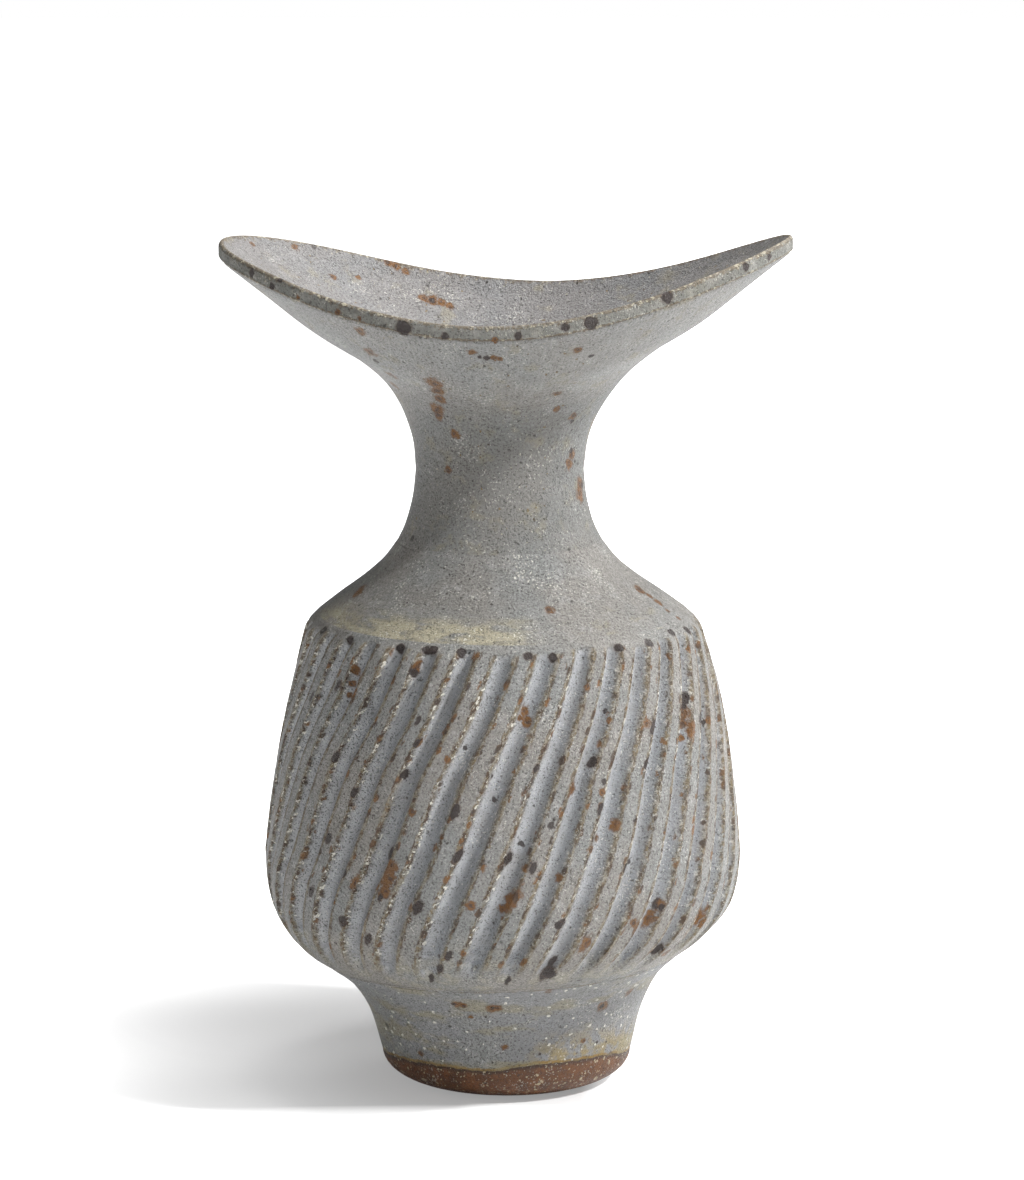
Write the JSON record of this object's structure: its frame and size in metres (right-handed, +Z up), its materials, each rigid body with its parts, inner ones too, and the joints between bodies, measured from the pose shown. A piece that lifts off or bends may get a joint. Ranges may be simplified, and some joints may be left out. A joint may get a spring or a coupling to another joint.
{
  "type": "fluted vase",
  "caption": "Round-bellied stoneware vase on a small turned foot, with slanting cut flutes, a sloping shoulder, a slender neck and a wide saddle-shaped oval lip.",
  "frame": {"origin": "centre of the foot, on the plane that the vase stands on", "axes": "+Z up the vase's axis to the lip, +X towards the lip's raised right end as seen from the front, -Y towards the front"},
  "size_m": [0.1614, 0.1378, 0.2439],
  "materials": {
    "glaze": "pitted matt grey stoneware glaze, specked with iron brown",
    "bare_clay": "unglazed chocolate-brown clay with pale grog",
    "slip": "smoothed joining slip"
  },
  "bodies": {
    "root": {"turned_foot": "bare_clay", "foot_slip_seam": "slip", "fluted_body": "glaze", "shoulder_slip_seam": "slip", "shoulder_dome": "glaze", "neck_slip_seam": "slip", "flared_neck": "glaze"}
  },
  "joints": []
}
